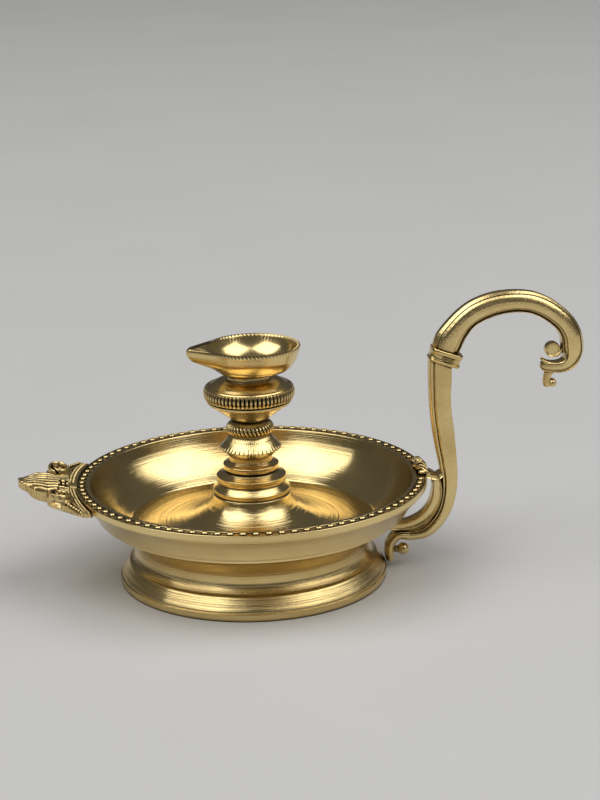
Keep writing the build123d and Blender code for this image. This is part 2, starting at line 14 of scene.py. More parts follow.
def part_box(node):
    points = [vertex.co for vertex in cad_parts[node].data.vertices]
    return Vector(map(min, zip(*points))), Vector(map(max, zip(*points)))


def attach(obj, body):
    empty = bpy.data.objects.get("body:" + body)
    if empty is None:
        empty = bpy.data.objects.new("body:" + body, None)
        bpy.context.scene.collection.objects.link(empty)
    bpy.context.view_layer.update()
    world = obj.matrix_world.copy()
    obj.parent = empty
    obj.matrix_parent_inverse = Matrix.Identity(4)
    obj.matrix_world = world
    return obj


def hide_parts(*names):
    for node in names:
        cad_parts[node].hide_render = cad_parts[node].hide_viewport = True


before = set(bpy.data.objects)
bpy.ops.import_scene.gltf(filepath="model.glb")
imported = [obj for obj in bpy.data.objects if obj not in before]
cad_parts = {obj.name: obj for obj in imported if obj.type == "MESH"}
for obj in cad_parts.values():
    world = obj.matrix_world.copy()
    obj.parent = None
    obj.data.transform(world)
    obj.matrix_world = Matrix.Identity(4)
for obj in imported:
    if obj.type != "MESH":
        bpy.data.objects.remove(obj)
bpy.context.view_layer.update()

# Metres in a millimetre
MM = 0.001
# Points closer than this are one
WELD = 0.004
# Steps round a turned piece
TURNS = 256
# Bore of the pieces that the stud passes through
BORE = 4.05

# Photograph's frame and the camera that took it
PHOTO_WIDTH = 600
PHOTO_HEIGHT = 800
FOCAL_PIXELS = 2200.0
SENSOR = 36.0
CAMERA_DISTANCE = 690.6
CAMERA_ELEVATION = 18.25
CAMERA_AZIMUTH = -5.0
CAMERA_ROLL = 1.63
RIM_CENTRE = Vector((0, 0, 32.4))
RIM_CENTRE_PIXEL = (251.4, 475.8)


def span(node):
    """Lowest and highest corner of a solid, in millimetres."""
    low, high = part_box(node)
    return low / MM, high / MM


# Outlines and shapes: a shape is a list of points and a list of faces

def bowed(start, end, bow, steps=10):
    """Points between two (radius, height) corners on an arc that bulges outwards by its bow."""
    dr = end[0] - start[0]
    dz = end[1] - start[1]
    length = hypot(dr, dz)
    points = []
    for step in range(1, steps):
        share = step / steps
        push = 4 * bow * share * (1 - share)
        r = start[0] + share * dr + push * dz / length
        z = start[1] + share * dz - push * dr / length
        points.append((r, z))
    return points


def rounded(before, corner, after, radius, steps=4):
    """Corner of an outline rounded off by a radius."""
    ways = []
    for other in (before, after):
        length = hypot(other[0] - corner[0], other[1] - corner[1])
        ways.append(((other[0] - corner[0]) / length, (other[1] - corner[1]) / length, length))
    (ax, ay, a_long), (bx, by, b_long) = ways
    half = acos(max(-1.0, min(1.0, ax * bx + ay * by))) / 2
    steepness = max(abs(sin(half) / max(cos(half), 1e-6)), 1e-6)
    reach = min(radius / steepness, 0.45 * a_long, 0.45 * b_long)
    points = []
    for step in range(steps + 1):
        share = step / steps
        to_a = reach * (1 - share) ** 2
        to_b = reach * share ** 2
        points.append((corner[0] + to_a * ax + to_b * bx, corner[1] + to_a * ay + to_b * by))
    return points


def contour(*corners):
    """Closed outline through corners (radius, height, rounding, bow of the edge before it)."""
    raw = []
    for number, corner in enumerate(corners):
        rounding = corner[2] if len(corner) > 2 else 0
        bow = corner[3] if len(corner) > 3 else 0
        if bow:
            raw += [(r, z, 0) for r, z in bowed(corners[number - 1], corner, bow)]
        raw.append((corner[0], corner[1], rounding))
    outline = []
    for number, (r, z, rounding) in enumerate(raw):
        if rounding:
            outline += rounded(raw[number - 1], (r, z), raw[(number + 1) % len(raw)], rounding)
        else:
            outline.append((r, z))
    return outline


def joined(*shapes):
    """Several shapes as one."""
    points = []
    faces = []
    for shape_points, shape_faces in shapes:
        start = len(points)
        points += shape_points
        faces += [[start + index for index in face] for face in shape_faces]
    return points, faces


def skin(rings, closed=False):
    """Quads between rings of points; an open skin gets an end face at each end."""
    count = len(rings[0])
    points = [point for ring in rings for point in ring]
    faces = []
    for number in range(len(rings) if closed else len(rings) - 1):
        here = number * count
        there = (number + 1) % len(rings) * count
        for index in range(count):
            after = (index + 1) % count
            faces.append([here + index, here + after, there + after, there + index])
    if not closed:
        faces.append(list(range(count))[::-1])
        faces.append(list(range(len(points) - count, len(points))))
    return points, faces


def lathe(outline, turns=TURNS, carve=None):
    """Closed outline turned about Z; carve(radius, height, angle) moves a point's radius."""
    rings = []
    for radius, height in outline:
        ring = []
        for step in range(turns):
            angle = 2 * pi * step / turns
            cut = carve(radius, height, angle) if carve else radius
            ring.append((cut * cos(angle), cut * sin(angle), height))
        rings.append(ring)
    return skin(rings, closed=True)


def placed(shape, matrix):
    """Shape moved by a matrix."""
    points, faces = shape
    return [tuple(matrix @ Vector(point)) for point in points], faces


def ball(centre, radius, squash=1.0, turns=16, rows=8):
    """Ball, flattened along Z by its squash."""
    rings = []
    for row in range(rows + 1):
        lift = -pi / 2 + pi * row / rows
        wide = max(radius * cos(lift), 1e-4)
        ring = []
        for step in range(turns):
            angle = 2 * pi * step / turns
            ring.append((centre[0] + wide * cos(angle), centre[1] + wide * sin(angle),
                         centre[2] + squash * radius * sin(lift)))
        rings.append(ring)
    return skin(rings)


def between(a, b, c, d, share):
    """Number at a share of the way from b to c, on a smooth curve through four numbers."""
    bend = 2 * a - 5 * b + 4 * c - d
    twist = 3 * b - a - 3 * c + d
    return 0.5 * (2 * b + (c - a) * share + bend * share ** 2 + twist * share ** 3)


def flow(stations, steps):
    """Smooth run of numbers through stations, with a number of steps to each span."""
    run = []
    last = len(stations) - 1
    for number in range(last):
        before = stations[max(number - 1, 0)]
        here = stations[number]
        there = stations[number + 1]
        after = stations[min(number + 2, last)]
        for step in range(steps):
            run.append(tuple(between(*four, step / steps) for four in zip(before, here, there, after)))
    run.append(tuple(stations[last]))
    return run


def tube(points, radius, tips=0.3, sides=10, steps=6):
    """Round wire along points (x, y, z), drawn in at both tips."""
    run = [Vector(point) for point in flow(points, steps)]
    rings = []
    for number, point in enumerate(run):
        course = (run[min(number + 1, len(run) - 1)] - run[max(number - 1, 0)]).normalized()
        if rings:
            side = (side - course * side.dot(course)).normalized()
        else:
            side = course.orthogonal().normalized()
        up = course.cross(side)
        share = number / (len(run) - 1)
        wide = radius * (tips + (1 - tips) * min(1.0, 6 * share, 6 * (1 - share)))
        rings.append([tuple(point + wide * (cos(a) * side + sin(a) * up))
                      for a in (2 * pi * step / sides for step in range(sides))])
    return skin(rings)


def relief(section, share):
    """Half thickness at a share of the width, from a section's (share, thickness) points."""
    for (a, low), (b, high) in zip(section, section[1:]):
        if share <= b:
            return low + (high - low) * (share - a) / (b - a)
    return section[-1][1]


def bar(stations, section, half_depth, steps=8, across=41, end_section=None, end_at=0.0):
    """Cast bar along stations (x, z, width, share of the depth) in the plane y = 0, the same on both faces.

    From the station end_at on, its section turns into the end section within two stations.
    """
    run = flow(stations, steps)
    rings = []
    for number, (x, z, width, depth) in enumerate(run):
        ahead = run[min(number + 1, len(run) - 1)]
        behind = run[max(number - 1, 0)]
        course = Vector((ahead[0] - behind[0], 0, ahead[1] - behind[1])).normalized()
        side = Vector((0, 1, 0)).cross(course)
        turned = min(1.0, max(0.0, (number / steps - end_at) / 2)) if end_section else 0.0
        front = []
        back = []
        for step in range(across):
            share = -1 + 2 * step / (across - 1)
            point = Vector((x, 0, z)) + side * (share * width / 2)
            thick = relief(section, share)
            if turned:
                thick += turned * (relief(end_section, share) - thick)
            front.append((point.x, -half_depth * depth * thick, point.z))
            back.append((point.x, half_depth * depth * thick, point.z))
        rings.append(front + back[::-1])
    return skin(rings)


def linked(name, data):
    """New object in the scene."""
    made = bpy.data.objects.new(name, data)
    bpy.context.scene.collection.objects.link(made)
    return made


def piece(replaced, way, body, material, shape, sharp=38.0, melt=0.0):
    """New object from a shape, in the place of a solid, riding on a body and named for the way it is made.

    Edges steeper than the sharp angle stay crisp. melt is the grain of the mould in which lumps run together.
    """
    name = f"{replaced}_{way}"
    points, faces = shape
    mesh = bpy.data.meshes.new(name)
    mesh.from_pydata([tuple(MM * number for number in point) for point in points], [], faces)
    welded = bmesh.new()
    welded.from_mesh(mesh)
    bmesh.ops.remove_doubles(welded, verts=welded.verts, dist=WELD * MM)
    bmesh.ops.recalc_face_normals(welded, faces=welded.faces)
    welded.to_mesh(mesh)
    welded.free()
    if melt:
        mesh = melted(name, mesh, melt)
    mesh.shade_smooth()
    mesh.set_sharp_from_angle(angle=radians(sharp))
    mesh.materials.append(material)
    made = linked(name, mesh)
    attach(made, body)
    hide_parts(replaced)


def melted(name, mesh, voxel):
    """Overlapping lumps run together into one skin, as they come out of a mould."""
    lump = linked(name + "_mould", mesh)
    melt = lump.modifiers.new("melt", "REMESH")
    melt.mode = "VOXEL"
    melt.voxel_size = voxel * MM
    soften = lump.modifiers.new("soften", "SMOOTH")
    soften.factor = 0.5
    soften.iterations = 2
    graph = bpy.context.evaluated_depsgraph_get()
    casting = bpy.data.meshes.new_from_object(lump.evaluated_get(graph))
    bpy.data.objects.remove(lump)
    casting.name = name
    return casting


# Finishes

def node(tree, kind, sockets=None, **settings):
    """Shader node of a kind with its settings, and its sockets set or linked."""
    made = tree.nodes.new("ShaderNode" + kind)
    for key, value in settings.items():
        setattr(made, key, value)
    for key, value in (sockets or {}).items():
        if isinstance(value, bpy.types.NodeSocket):
            tree.links.new(value, made.inputs[key])
        else:
            made.inputs[key].default_value = value
    return made


def effect(name, inputs, outputs):
    """Empty node group with named number inputs and outputs."""
    tree = bpy.data.node_groups.new(name, "ShaderNodeTree")
    for label in inputs:
        tree.interface.new_socket(name=label, in_out="INPUT", socket_type="NodeSocketFloat")
    for label in outputs:
        tree.interface.new_socket(name=label, in_out="OUTPUT", socket_type="NodeSocketFloat")
    return tree, tree.nodes.new("NodeGroupInput"), tree.nodes.new("NodeGroupOutput")


def turning_lines():
    """Fine rings that the lathe tool leaves: the same all round, at random spacing along the outline."""
    tree, _, result = effect("turning_lines", [], ["Rings"])
    place = node(tree, "TexCoord")
    parts = node(tree, "SeparateXYZ", {"Vector": place.outputs["Object"]})
    flat = node(tree, "CombineXYZ", {"X": parts.outputs["X"], "Y": parts.outputs["Y"]})
    radius = node(tree, "VectorMath", {0: flat.outputs["Vector"]}, operation="LENGTH")
    along = node(tree, "CombineXYZ", {"X": radius.outputs["Value"], "Y": parts.outputs["Z"]})
    noise = node(tree, "TexNoise", {
        "Vector": along.outputs["Vector"], "Scale": 700.0, "Detail": 5.0, "Roughness": 0.72})
    tree.links.new(noise.outputs["Fac"], result.inputs["Rings"])
    return tree


def crevice_shade_and_dirt():
    """Ambient-occlusion mask of grooves, inner corners and hollows: painted shade there, and in grooves also
    the dark patina where polish never reaches.
    """
    tree, given, result = effect("crevice_shade_and_dirt", ["Reach", "Free", "Sharpness"], ["Dirt"])
    open_sky = node(tree, "AmbientOcclusion", {"Distance": given.outputs["Reach"]}, samples=8)
    kept = node(tree, "Math", {0: open_sky.outputs["AO"], 1: given.outputs["Free"]},
                operation="ADD")
    closed = node(tree, "Math", {0: 1.0, 1: kept.outputs["Value"]}, operation="SUBTRACT")
    grow = node(tree, "Math", {0: closed.outputs["Value"], 1: given.outputs["Sharpness"]},
                operation="MULTIPLY", use_clamp=True)
    tree.links.new(grow.outputs["Value"], result.inputs["Dirt"])
    return tree


def hand_polish():
    """Cloudy tone of hand-rubbed brass, and the fine scratches of the rubbing."""
    tree, given, result = effect("hand_polish", ["Cloud scale"], ["Cloud", "Scratch"])
    place = node(tree, "TexCoord")
    cloud = node(tree, "TexNoise", {
        "Vector": place.outputs["Object"], "Scale": given.outputs["Cloud scale"],
        "Detail": 5.0, "Roughness": 0.6})
    stretch = node(tree, "Mapping", {
        "Vector": place.outputs["Object"], "Rotation": (0.5, 0.3, 0.7), "Scale": (1.0, 0.12, 1.0)})
    scratch = node(tree, "TexNoise", {
        "Vector": stretch.outputs["Vector"], "Scale": 900.0, "Detail": 3.0, "Roughness": 0.7})
    tree.links.new(cloud.outputs["Fac"], result.inputs["Cloud"])
    tree.links.new(scratch.outputs["Fac"], result.inputs["Scratch"])
    return tree


EFFECTS = {"lines": turning_lines(), "shade_and_dirt": crevice_shade_and_dirt(), "polish": hand_polish()}


def placed_effect(tree, name, sockets=None):
    """One of the shared effects, placed in a material with its own values."""
    return node(tree, "Group", sockets, node_tree=EFFECTS[name])


def new_finish(name):
    """New material, its tree of nodes and its shader."""
    made = bpy.data.materials.new(name)
    made.use_nodes = True
    tree = made.node_tree
    return made, tree, tree.nodes["Principled BSDF"]


def brass(name, shade_and_dirt, gloss, rough, shade=0.5, line_depth=0.0, scratch_depth=0.00001, cloud_scale=60.0,
          grain=0.0):
    """Brass with a cloudy tone, turning lines, rubbing scratches, painted brown shade in hollows, and grooves
    darkened by painted shade and patina.

    The groove numbers hold the reach in metres of the painted shade and patina in grooves, what it leaves
    free and how sharply it ends.
    gloss and rough are the roughness of rubbed and of dull places, and shade is how strong the painted brown
    shade in the hollows is.
    """
    made, tree, shader = new_finish(name)
    shader.inputs["Metallic"].default_value = 1.0
    polish = placed_effect(tree, "polish", {"Cloud scale": cloud_scale})
    rings = placed_effect(tree, "lines")
    # Painted shade with dark patina: grooves and inner corners darken by ambient occlusion
    grooves = placed_effect(tree, "shade_and_dirt", dict(zip(("Reach", "Free", "Sharpness"), shade_and_dirt)))
    # Painted shade: wide hollows turn brown by ambient occlusion, more the more closed they are
    painted_hollow_shade = placed_effect(tree, "shade_and_dirt", {"Reach": PAINTED_SHADE_REACH, "Free": 0.3, "Sharpness": 1.4 * shade})
    tone = node(tree, "MapRange", {"Value": polish.outputs["Cloud"], "From Min": 0.35, "From Max": 0.7})
    ringed = node(tree, "Math", {0: rings.outputs["Rings"], 1: tone.outputs["Result"]},
                  operation="MULTIPLY")
    metal = mixed(tree, ringed.outputs["Value"], PALE, GOLD)
    # Painted brown shade of the hollows goes into the base colour
    hollow_shaded = mixed(tree, painted_hollow_shade.outputs["Dirt"], metal, PAINTED_SHADE_BROWN)
    # Painted shade and dark patina of the grooves go into the base colour
    shaded_and_soiled = mixed(tree, grooves.outputs["Dirt"], hollow_shaded, GROOVE_SHADE_AND_PATINA)
    tree.links.new(shaded_and_soiled, shader.inputs["Base Color"])
    haze = node(tree, "MapRange", {
        "Value": polish.outputs["Cloud"], "From Min": 0.3, "From Max": 0.75,
        "To Min": gloss, "To Max": rough})
    dulled = node(tree, "Math", {0: grooves.outputs["Dirt"], 1: 0.3, 2: haze.outputs["Result"]},
                  operation="MULTIPLY_ADD", use_clamp=True)
    tree.links.new(dulled.outputs["Value"], shader.inputs["Roughness"])
    surface = dented(tree, polish.outputs["Scratch"], scratch_depth)
    if line_depth:
        surface = dented(tree, rings.outputs["Rings"], line_depth, surface)
    if grain:
        place = node(tree, "TexCoord")
        pits = node(tree, "TexNoise", {
            "Vector": place.outputs["Object"], "Scale": 1400.0, "Detail": 3.0, "Roughness": 0.6})
        surface = dented(tree, pits.outputs["Fac"], grain, surface)
    tree.links.new(surface, shader.inputs["Normal"])
    return made


def mixed(tree, factor, first, second):
    """Colour between two colours or colour sockets, by a mask."""
    mix = node(tree, "Mix", {0: factor, 6: first, 7: second}, data_type="RGBA")
    return mix.outputs[2]


def dented(tree, height, depth, surface=None):
    """Normal of a surface with a relief of a depth in metres pressed into it."""
    sockets = {"Strength": 1.0, "Distance": depth, "Height": height}
    if surface:
        sockets["Normal"] = surface
    return node(tree, "Bump", sockets).outputs["Normal"]


# Tones of the brass: rubbed, plain, painted brown shade in hollows, and painted shade with dark patina in
# grooves
PALE = (0.82, 0.64, 0.30, 1.0)
GOLD = (0.64, 0.43, 0.16, 1.0)
PAINTED_SHADE_BROWN = (0.24, 0.125, 0.04, 1.0)
GROOVE_SHADE_AND_PATINA = (0.03, 0.015, 0.005, 1.0)
# Hollows this wide, in metres, get a painted brown shade
PAINTED_SHADE_REACH = 0.02

DISH_BRASS = brass("turned_dish_brass", (0.0012, 0.15, 3.0), shade=0.3, gloss=0.08, rough=0.18,
                   line_depth=0.00012)
FOOT_BRASS = brass("turned_foot_brass", (0.0015, 0.15, 3.0), gloss=0.12, rough=0.26, line_depth=0.00022)
STEM_BRASS = brass("turned_stem_brass", (0.0015, 0.12, 3.0), gloss=0.08, rough=0.20, line_depth=0.0002)
CUT_BRASS = brass("nicked_stem_brass", (0.0010, 0.10, 4.0), gloss=0.14, rough=0.30, line_depth=0.00004)
CUP_BRASS = brass("cup_brass", (0.0012, 0.12, 3.0), shade=0.35, gloss=0.16, rough=0.30,
                  scratch_depth=0.00004)
BEAD_BRASS = brass("bead_brass", (0.0022, 0.14, 5.0), shade=0.2, gloss=0.18, rough=0.32, grain=0.00002)
CREST_BRASS = brass("cast_crest_brass", (0.0013, 0.10, 4.5), shade=0.2, gloss=0.22, rough=0.40,
                    grain=0.00005)
HANDLE_BRASS = brass("cast_handle_brass", (0.0010, 0.12, 4.0), shade=0.3, gloss=0.18, rough=0.34,
                     scratch_depth=0.00003, cloud_scale=90.0, grain=0.00008)


# Turned base

def foot_ring():
    """Waisted foot with an upright band at the table."""
    high = span("foot_ring")[1]
    outer = high.x
    outline = contour(
        (outer - 2.4, 0, 0.2), (outer, 0, 0.3), (outer, 2.3, 0.2), (outer - 0.45, 2.55, 0.1),
        (outer - 0.35, 2.95, 0.15), (outer - 2.9, 6.75, 0.15), (outer - 3.4, 6.95, 0.1),
        (outer - 5.8, 10.4, 0, -0.5), (outer - 5.3, 12.6, 0.3), (outer - 4.8, 13.45, 0.15),
        (outer - 7.0, 13.5), (outer - 7.0, high.z, 0.2), (outer - 8.2, high.z, 0.2),
        (outer - 8.2, 10.4, 0.4), (outer - 2.4, 2.8, 0.4),
    )
    piece("foot_ring", "turned", "lamp_base", FOOT_BRASS, lathe(outline))


def dish():
    """Drip dish: socket and flare below, sloping wall, rim with two edge lines, bowl and ridged floor."""
    low, high = span("dish")
    rim = high.x
    top = high.z
    outline = contour(
        (BORE, low.z), (8.0, low.z, 0.3), (8.0, 16.2, 0.4), (35.05, 16.2, 0.3), (35.05, 13.5),
        (37.2, 13.5, 0.15), (46.4, 20.4, 0.15, -1.2), (46.6, 21.2, 0.25), (47.1, 21.4, 0.1),
        (47.5, 22.0, 0.1), (48.7, 22.2, 0.25), (rim - 0.6, top - 2.9, 0.15, -0.4),
        (rim - 0.3, top - 2.5, 0.1), (rim, top - 2.2, 0.2), (rim, top - 0.3, 0.25),
        (rim - 0.5, top - 0.3, 0.2), (rim - 0.6, top - 0.7, 0.1), (rim - 3.2, top - 0.7, 0.1),
        (rim - 3.2, top - 0.2, 0.2), (rim - 4.5, top - 0.2, 0.3), (39.2, 18.5, 0.05, -1.8),
        (38.9, 18.25, 0.05), (38.5, 18.0, 0.05), (BORE, 18.0),
    )
    piece("dish", "turned", "lamp_base", DISH_BRASS, lathe(outline))


def rim_beading():
    """Row of small round beads in the channel of the rim, left out under the leaf."""
    low, high = span("rim_beading")
    count = 88
    bead_radius = 0.92
    bead_length = 1.2
    leaf_angle = 10.0
    half_strip = 1.2
    middle = high.x - half_strip
    top = low.z + 0.2
    inner = middle - half_strip
    outer = high.x
    strip = contour((inner, low.z), (outer, low.z), (outer, top, 0.1), (inner, top, 0.1))
    shapes = [lathe(strip)]
    stretch = Matrix.Scale(bead_length, 4, (0, 1, 0))
    for number in range(count):
        degrees = 360 * number / count
        if abs((degrees + 180) % 360 - 180) > leaf_angle:
            turn = Matrix.Rotation(radians(degrees), 4, "Z") @ Matrix.Translation((middle, 0, top))
            shapes.append(placed(ball((0, 0, 0), bead_radius, squash=0.9), turn @ stretch))
    piece("rim_beading", "cast", "lamp_base", BEAD_BRASS, joined(*shapes))


# Stem

def stem_foot():
    """Trumpet foot with three turned rings."""
    low, high = span("stem_foot")
    outline = contour(
        (BORE, low.z + 0.7), (12.3, low.z + 0.7), (12.3, low.z), (high.x, low.z, 0.1),
        (high.x, low.z + 0.4, 0.15), (15.4, 22.4, 0, -0.9), (12.5, 26.4, 0, -0.45), (12.2, 27.3, 0.1),
        (11.7, 27.6, 0.1), (12.2, 28.1, 0.35), (12.1, 29.1, 0.4), (10.2, 31.1, 0.1, -0.15),
        (10.9, 31.6, 0.3), (10.9, 33.3, 0.6), (7.8, 35.0, 0.1, -0.2), (8.7, 35.5, 0.3), (8.7, 37.0, 0.5),
        (6.8, 38.2, 0.2, -0.1), (6.8, high.z), (BORE, high.z),
    )
    piece("stem_foot", "turned", "stem", STEM_BRASS, lathe(outline))


def lower_knop():
    """Double cone with a nicked edge and a filed upper cone."""
    low, high = span("lower_knop")
    nicks = 40
    edge = low.z + 2.7

    def carve(radius, height, angle):
        if radius < BORE + 1:
            return radius
        nick = max(0.0, cos(nicks * angle)) ** 3
        near = exp(-((height - edge) / 0.5) ** 2)
        file_marks = 0.03 * sin(2 * nicks * angle + 5 * height) if height > edge + 0.6 else 0
        return radius - 0.4 * nick * near + file_marks

    outline = contour(
        (BORE, low.z), (6.8, low.z), (8.9, edge - 0.75), (9.4, edge - 0.3), (high.x, edge, 0.15),
        (9.4, edge + 0.3), (9.0, edge + 0.8), (8.3, edge + 1.6), (7.4, edge + 2.6), (6.2, high.z, 0, 0.1),
        (BORE, high.z),
    )
    piece("lower_knop", "cut", "stem", CUT_BRASS, lathe(outline, 16 * nicks, carve))


def barrel(radius, low, tall, belly, steps=12):
    """Points up a band that is drawn in by its belly at both ends."""
    points = []
    for step in range(steps + 1):
        share = step / steps
        points.append((radius - belly * (2 * share - 1) ** 2, low + tall * share))
    return points


def fluting(count, low, tall, depth, power, fade, slant=0.0):
    """Carver for grooves in a band: a higher power makes them narrower, a higher fade makes them longer."""
    def carve(radius, height, angle):
        share = (height - low) / tall
        if radius < BORE + 1 or not 0 < share < 1:
            return radius
        groove = (0.5 - 0.5 * cos(count * (angle + slant * share))) ** power
        return radius - depth * groove * min(1.0, fade * share, fade * (1 - share))

    return carve


def bead_collar():
    """Round collar with slanting reeds."""
    low, high = span("bead_collar")
    reeds = 36
    band_low = low.z + 0.3
    band_tall = 3.7
    outline = contour(
        (BORE, low.z), (6.3, low.z), (6.3, band_low - 0.05),
        *barrel(high.x, band_low, band_tall, belly=1.1), (6.2, band_low + band_tall + 0.1), (5.6, high.z),
        (BORE, high.z),
    )
    carve = fluting(reeds, band_low, band_tall, depth=0.5, power=3, fade=6, slant=0.2)
    piece("bead_collar", "cut", "stem", CUT_BRASS, lathe(outline, 16 * reeds, carve))


def ribbed_bulb():
    """Bulb: straight underside, lip, dark line, band of upright ribs, shoulder and dome."""
    low, high = span("ribbed_bulb")
    ribs = 66
    band_low = low.z + 7.0
    band_tall = 3.6
    band_high = band_low + band_tall
    outline = contour(
        (BORE, low.z), (5.6, low.z), (12.9, band_low - 1.5, 0.1, -0.2), (13.2, band_low - 1.2, 0.15),
        (13.2, band_low - 0.6, 0.2), (12.7, band_low - 0.45, 0.05), (12.7, band_low - 0.25, 0.05),
        (13.4, band_low - 0.15, 0.1), *barrel(high.x - 0.05, band_low, band_tall, belly=0.55),
        (13.3, band_high + 0.1, 0.05), (13.1, band_high + 0.4, 0.15), (12.5, band_high + 0.55, 0.1),
        (12.2, band_high + 0.5, 0.05), (6.8, high.z, 0, 0.6), (BORE, high.z),
    )
    carve = fluting(ribs, band_low, band_tall, depth=0.6, power=2, fade=5)
    piece("ribbed_bulb", "cut", "stem", CUT_BRASS, lathe(outline, 12 * ribs, carve))


def teardrop(radius, reach, centre, height, tip, count=480):
    """Ring of points round a circle that is drawn out to a rounded tip towards -X."""
    # Shares of each half of the ring: round part, straight side and tip
    round_part = 0.6
    side_part = 0.35
    tip_part = 0.05
    tip_start = round_part + side_part
    reach = max(reach, radius * 1.02)
    tip = min(tip, 0.5 * radius)
    far = reach - tip
    lean = acos((radius - tip) / far)
    ring = []
    for step in range(count):
        share = step / count * 2 - 1
        side = 1 if share >= 0 else -1
        share = abs(share)
        if share < round_part:
            angle = (pi - lean) * share / round_part
            x = radius * cos(angle)
            y = radius * sin(angle)
        elif share < tip_start:
            way = (share - round_part) / side_part
            x = -radius * cos(lean) * (1 - way) - (far + tip * cos(lean)) * way
            y = sin(lean) * (radius * (1 - way) + tip * way)
        else:
            angle = pi - lean * (1 - (share - tip_start) / tip_part)
            x = -far + tip * cos(angle)
            y = tip * sin(angle)
        ring.append((centre + x, side * y, height))
    return ring


def wick_cup():
    """Tear-drop cup: short neck, raked spout, thick nicked lip and a smooth bowl."""
    low, high = span("wick_cup")
    rim = high.z
    seat = rim - 10.6
    outer_tip = 2.2
    inner_tip = 0.8
    middle = 1.5
    # Radius, reach of the spout, centre and height of each ring
    outside = (
        (3.9, 3.9, 0.0, low.z), (3.9, 3.9, 0.0, seat), (6.7, 6.7, 0.0, seat),
        (6.45, 6.45, 0.0, seat + 0.5), (6.4, 6.4, 0.0, seat + 1.4), (6.9, 7.0, 0.1, seat + 1.85),
        (8.6, 8.8, 0.5, seat + 2.25), (10.2, 10.5, 0.9, seat + 2.7), (11.4, 12.0, 1.3, seat + 3.3),
        (12.1, 13.6, middle, seat + 4.0), (12.6, 15.2, middle, seat + 4.7),
        (13.1, 17.0, middle, seat + 5.5), (13.7, 19.2, middle, seat + 6.5),
        (14.0, 20.0, middle, seat + 7.4), (14.2, 20.45, middle, seat + 8.2),
        (14.4, 20.6, middle, seat + 9.0), (14.6, 20.5, middle, rim - 0.9),
    )
    lip = ((14.75, 20.15, middle, rim - 0.3), (14.65, 19.7, middle, rim))
    edge = ((13.75, 17.4, middle, rim), (13.6, 17.0, middle, rim - 0.15))
    inside = (
        (13.35, 16.6, middle, rim - 0.7), (12.8, 15.7, middle, rim - 2.2),
        (11.7, 13.8, middle, rim - 4.2), (9.6, 10.9, middle, rim - 5.9), (6.4, 7.0, middle, rim - 7.0),
        (3.0, 3.1, middle, rim - 7.4), (0.4, 0.42, middle, rim - 7.45),
    )
    rings = [teardrop(*ring, outer_tip) for ring in outside]
    rings += [nicked(teardrop(*ring, outer_tip), middle) for ring in lip]
    rings += [nicked(teardrop(*ring, inner_tip), middle) for ring in edge]
    rings += [teardrop(*ring, inner_tip) for ring in inside]
    piece("wick_cup", "turned", "stem", CUP_BRASS, skin(rings), sharp=50.0)


def nicked(ring, middle):
    """Ring of the lip with two of every five points pressed in and down."""
    press_in = 0.98
    press_down = 0.45
    cut = []
    for index, (x, y, z) in enumerate(ring):
        if index % 5 < 2:
            cut.append((middle + press_in * (x - middle), press_in * y, z - press_down))
        else:
            cut.append((x, y, z))
    return cut


# Handle

# Section of each bar, from edge to edge: share of the half width, and share of the half depth
HOOK_RELIEF = (
    (-1.0, 0.34), (-0.78, 0.68), (-0.735, 0.54), (-0.70, 0.66), (-0.52, 0.84), (-0.34, 0.94), (-0.10, 0.99),
    (0.15, 1.0), (0.42, 0.97), (0.50, 0.94), (0.56, 0.72), (0.72, 0.62), (0.84, 0.56), (0.885, 0.74),
    (0.94, 0.76), (0.985, 0.55), (1.0, 0.30),
)
TONGUE_RELIEF = (
    (-1.0, 0.45), (-0.94, 0.90), (-0.86, 1.0), (-0.76, 0.96), (-0.66, 0.66), (0.0, 0.70), (0.62, 0.66),
    (0.72, 0.96), (0.84, 1.0), (0.94, 0.90), (1.0, 0.45),
)
SHANK_RELIEF = (
    (-1.0, 0.35), (-0.97, 0.60), (-0.92, 0.68), (-0.87, 0.66), (-0.70, 0.78), (-0.50, 0.90), (-0.32, 0.97),
    (-0.10, 1.0), (0.25, 0.99), (0.45, 0.95), (0.54, 0.90), (0.59, 0.70), (0.66, 0.74), (0.84, 0.71),
    (0.93, 0.62), (1.0, 0.35),
)
STRAP_RELIEF = ((-1.0, 0.70), (-0.8, 1.0), (-0.4, 0.86), (0.4, 0.86), (0.8, 1.0), (1.0, 0.70))

# Middle line of each bar with its width and share of the depth: x, z, width, share
HOOK_STATIONS = (
    (61.3, 69.2, 8.0, 1.0), (61.65, 70.3, 8.4, 1.0), (62.8, 73.2, 8.8, 1.0), (64.7, 76.2, 8.0, 1.0),
    (67.4, 79.35, 7.4, 1.0), (70.5, 81.7, 7.4, 1.0), (74.25, 83.4, 7.4, 1.0), (78.55, 84.5, 7.2, 1.0),
    (83.5, 84.85, 6.9, 1.0), (88.3, 84.3, 6.8, 1.0), (92.6, 82.6, 6.7, 1.0), (96.3, 80.1, 6.6, 1.0),
    (99.5, 77.0, 6.6, 1.0), (101.5, 73.3, 6.7, 1.0), (102.0, 70.0, 6.95, 1.0), (102.1, 67.6, 6.4, 0.95),
    (101.5, 65.2, 5.0, 0.87), (99.9, 63.6, 4.0, 0.78), (97.6, 63.0, 3.6, 0.7), (95.0, 63.1, 3.4, 0.64),
    (93.1, 63.4, 3.0, 0.6), (92.4, 63.55, 2.2, 0.5), (92.0, 63.65, 1.2, 0.35),
)
